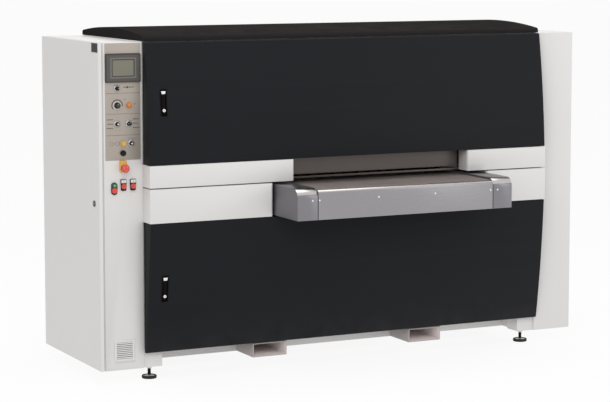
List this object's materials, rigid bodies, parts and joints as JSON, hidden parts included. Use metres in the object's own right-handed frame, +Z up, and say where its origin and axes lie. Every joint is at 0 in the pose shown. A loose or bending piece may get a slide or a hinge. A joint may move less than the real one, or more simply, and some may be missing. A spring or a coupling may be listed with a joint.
{
  "type": "sheet metal deburring machine",
  "caption": "Sheet metal deburring machine: belt conveyor through a box frame with block grinding units above and below, swing doors and a control pillar.",
  "frame": {"origin": "on the floor, under the middle of the bounding box", "axes": "+X to the right seen from the front, along the machine; the front faces -Y; +Z up"},
  "size_m": [2.723, 1.532, 1.732],
  "materials": {
    "coat": "light grey powder coat",
    "dark_coat": "dark grey powder coat",
    "stainless": "brushed stainless sheet",
    "dark_steel": "dark sheet steel",
    "pocket_steel": "grey brown paint",
    "foot_steel": "black oxide with a bright worn rim",
    "bright_steel": "ground and plated",
    "drum": "rubber coated drum motor",
    "unit_steel": "grey machine paint",
    "motor_iron": "painted die cast aluminium",
    "pulley_aluminium": "turned",
    "abrasive": "abrasive blocks on a woven carrier belt",
    "roller_rubber": "ground rubber cover",
    "belt_rubber": "fabric faced rubber belt",
    "panel_plate": "matt anodised plate",
    "grey_plastic": "moulded, slightly textured",
    "black_plastic": "black, moulded",
    "light_plastic": "white, moulded",
    "orange_plastic": "translucent orange lens",
    "yellow_plastic": "yellow cap",
    "red_plastic": "red cap",
    "green_plastic": "green cap",
    "holder_plastic": "black holders, with the yellow stop box",
    "lock_zinc": "die cast, black",
    "board_zinc": "zinc plated board with grey devices"
  },
  "bodies": {
    "frame": {"base_frame": "coat", "fork_pockets": "pocket_steel", "leveling_feet": "foot_steel", "portal_frame": "coat", "lift_columns": "bright_steel", "left_housing": "coat", "right_housing": "coat", "roof_cover": "dark_coat", "rear_covers": "coat", "band_panels": "coat", "cable_gland": "grey_plastic", "door_hinge_pins": "bright_steel", "infeed_side_boxes": "stainless", "infeed_nose_plate": "stainless", "infeed_belt": "belt_rubber", "outfeed_table": "stainless", "outfeed_belt": "belt_rubber", "lower_unit_frame": "unit_steel", "lower_motor": "motor_iron", "lower_grinding_belt": "abrasive", "control_plate": "panel_plate", "operator_terminal": "grey_plastic", "button_holders": "holder_plastic", "vent_grille": "coat", "mounting_plate": "board_zinc"},
    "hood": {"hood_door": "dark_coat", "hood_latch_dish": "black_plastic"},
    "hood_lever": {"hood_latch_lever": "black_plastic"},
    "lower_door": {"lower_door": "dark_coat", "lower_latch_dish": "black_plastic"},
    "lower_lever": {"lower_latch_lever": "black_plastic"},
    "side_door": {"cabinet_door": "coat"},
    "side_lock": {"cabinet_lock": "lock_zinc"},
    "upper_unit": {"upper_unit_frame": "unit_steel", "upper_motor": "motor_iron", "upper_grinding_belt": "abrasive", "throat_guard": "dark_steel"},
    "upper_drive": {"upper_drive_pulley": "pulley_aluminium"},
    "upper_idler": {"upper_idler_pulley": "pulley_aluminium"},
    "press_front": {"pressure_roller_front": "roller_rubber"},
    "press_rear": {"pressure_roller_rear": "roller_rubber"},
    "lower_drive": {"lower_drive_pulley": "pulley_aluminium"},
    "lower_idler": {"lower_idler_pulley": "pulley_aluminium"},
    "in_nose": {"infeed_nose_roller": "bright_steel"},
    "in_drive": {"infeed_drive_roller": "drum"},
    "out_nose": {"outfeed_nose_roller": "bright_steel"},
    "out_drive": {"outfeed_drive_roller": "drum"},
    "mode": {"mode_selector": "black_plastic"},
    "speed": {"speed_knob": "black_plastic"},
    "lamp": {"lamp_button": "orange_plastic"},
    "left_sel": {"left_selector": "light_plastic"},
    "right_sel": {"right_selector": "black_plastic"},
    "reset": {"reset_button": "yellow_plastic"},
    "feed_sel": {"feed_selector": "black_plastic"},
    "black": {"black_button": "black_plastic"},
    "estop": {"estop_head": "red_plastic"},
    "start": {"start_button": "green_plastic"},
    "stop_left": {"stop_button_left": "red_plastic"},
    "stop_middle": {"stop_button_middle": "red_plastic"},
    "stop_right": {"stop_button_right": "red_plastic"}
  },
  "joints": [
    {"name": "hood_swing", "type": "hinge", "parent": "frame", "child": "hood", "pos_m": [1.112, -0.434, 1.4], "axis": [0, 0, 1], "range_deg": [0, 90]},
    {"name": "hood_lever_lift", "type": "hinge", "parent": "hood", "child": "hood_lever", "pos_m": [-1.049, -0.46641, 1.43622], "axis": [-1, 0, 0], "range_deg": [0, 35]},
    {"name": "lower_door_swing", "type": "hinge", "parent": "frame", "child": "lower_door", "pos_m": [1.112, -0.434, 0.46], "axis": [0, 0, 1], "range_deg": [0, 90]},
    {"name": "lower_lever_lift", "type": "hinge", "parent": "lower_door", "child": "lower_lever", "pos_m": [-1.049, -0.47862, 0.52062], "axis": [-1, 0, 0], "range_deg": [0, 35]},
    {"name": "side_door_swing", "type": "hinge", "parent": "frame", "child": "side_door", "pos_m": [-1.3505, 0.4, 0.87], "axis": [0, 0, -1], "range_deg": [0, 105]},
    {"name": "side_lock_turn", "type": "hinge", "parent": "side_door", "child": "side_lock", "pos_m": [-1.36, -0.337, 0.888], "axis": [-1, 0, 0], "range_deg": [0, 90]},
    {"name": "upper_lift", "type": "slide", "parent": "frame", "child": "upper_unit", "axis": [0, 0, 1], "range_m": [-0.018, 0.03]},
    {"name": "upper_drive_spin", "type": "hinge", "parent": "upper_unit", "child": "upper_drive", "pos_m": [-0.48, 0, 1.129], "axis": [0, 1, 0], "continuous": true},
    {"name": "upper_idler_spin", "type": "hinge", "parent": "upper_unit", "child": "upper_idler", "pos_m": [0.78, 0, 1.129], "axis": [0, 1, 0], "continuous": true},
    {"name": "press_front_spin", "type": "hinge", "parent": "upper_unit", "child": "press_front", "pos_m": [0.15, -0.25, 1], "axis": [1, 0, 0], "continuous": true},
    {"name": "press_rear_spin", "type": "hinge", "parent": "upper_unit", "child": "press_rear", "pos_m": [0.15, 0.25, 1], "axis": [1, 0, 0], "continuous": true},
    {"name": "lower_drive_spin", "type": "hinge", "parent": "frame", "child": "lower_drive", "pos_m": [-0.56, 0, 0.78], "axis": [0, 1, 0], "continuous": true},
    {"name": "lower_idler_spin", "type": "hinge", "parent": "frame", "child": "lower_idler", "pos_m": [0.7, 0, 0.78], "axis": [0, 1, 0], "continuous": true},
    {"name": "in_drive_spin", "type": "hinge", "parent": "frame", "child": "in_drive", "pos_m": [0.15, -0.25, 0.9127], "axis": [1, 0, 0], "continuous": true},
    {"name": "in_nose_spin", "type": "hinge", "parent": "frame", "child": "in_nose", "pos_m": [0.15, -0.7382, 0.9227], "axis": [1, 0, 0], "continuous": true},
    {"name": "out_drive_spin", "type": "hinge", "parent": "frame", "child": "out_drive", "pos_m": [0.15, 0.25, 0.9127], "axis": [1, 0, 0], "continuous": true},
    {"name": "out_nose_spin", "type": "hinge", "parent": "frame", "child": "out_nose", "pos_m": [0.15, 0.7382, 0.9227], "axis": [1, 0, 0], "continuous": true},
    {"name": "mode_turn", "type": "hinge", "parent": "frame", "child": "mode", "pos_m": [-1.26596, -0.412, 1.45412], "axis": [0, -1, 0], "range_deg": [-45, 45]},
    {"name": "speed_turn", "type": "hinge", "parent": "frame", "child": "speed", "pos_m": [-1.26596, -0.412, 1.3709], "axis": [0, -1, 0], "range_deg": [-135, 135]},
    {"name": "left_turn", "type": "hinge", "parent": "frame", "child": "left_sel", "pos_m": [-1.26706, -0.412, 1.28027], "axis": [0, -1, 0], "range_deg": [-45, 45]},
    {"name": "right_turn", "type": "hinge", "parent": "frame", "child": "right_sel", "pos_m": [-1.20704, -0.412, 1.28027], "axis": [0, -1, 0], "range_deg": [-45, 45]},
    {"name": "feed_turn", "type": "hinge", "parent": "frame", "child": "feed_sel", "pos_m": [-1.19496, -0.412, 1.18394], "axis": [0, -1, 0], "range_deg": [-45, 45]},
    {"name": "lamp_press", "type": "slide", "parent": "frame", "child": "lamp", "axis": [0, 1, 0], "range_m": [0, 0.004], "stiffness_N_per_m": 200, "springref_m": -0.002},
    {"name": "reset_press", "type": "slide", "parent": "frame", "child": "reset", "axis": [0, 1, 0], "range_m": [0, 0.004], "stiffness_N_per_m": 200, "springref_m": -0.002},
    {"name": "black_press", "type": "slide", "parent": "frame", "child": "black", "axis": [0, 1, 0], "range_m": [0, 0.004], "stiffness_N_per_m": 200, "springref_m": -0.002},
    {"name": "start_press", "type": "slide", "parent": "frame", "child": "start", "axis": [0, 1, 0], "range_m": [0, 0.004], "stiffness_N_per_m": 200, "springref_m": -0.002},
    {"name": "stop_left_press", "type": "slide", "parent": "frame", "child": "stop_left", "axis": [0, 1, 0], "range_m": [0, 0.004], "stiffness_N_per_m": 200, "springref_m": -0.002},
    {"name": "stop_middle_press", "type": "slide", "parent": "frame", "child": "stop_middle", "axis": [0, 1, 0], "range_m": [0, 0.004], "stiffness_N_per_m": 200, "springref_m": -0.002},
    {"name": "stop_right_press", "type": "slide", "parent": "frame", "child": "stop_right", "axis": [0, 1, 0], "range_m": [0, 0.004], "stiffness_N_per_m": 200, "springref_m": -0.002},
    {"name": "estop_press", "type": "slide", "parent": "frame", "child": "estop", "axis": [0, 1, 0], "range_m": [0, 0.005]}
  ],
  "couplings": [
    {"joint": "upper_idler_spin", "follows": "upper_drive_spin", "ratio": 1},
    {"joint": "lower_idler_spin", "follows": "lower_drive_spin", "ratio": 1},
    {"joint": "in_nose_spin", "follows": "in_drive_spin", "ratio": 1.5},
    {"joint": "out_drive_spin", "follows": "in_drive_spin", "ratio": 1},
    {"joint": "out_nose_spin", "follows": "in_drive_spin", "ratio": 1.5}
  ]
}
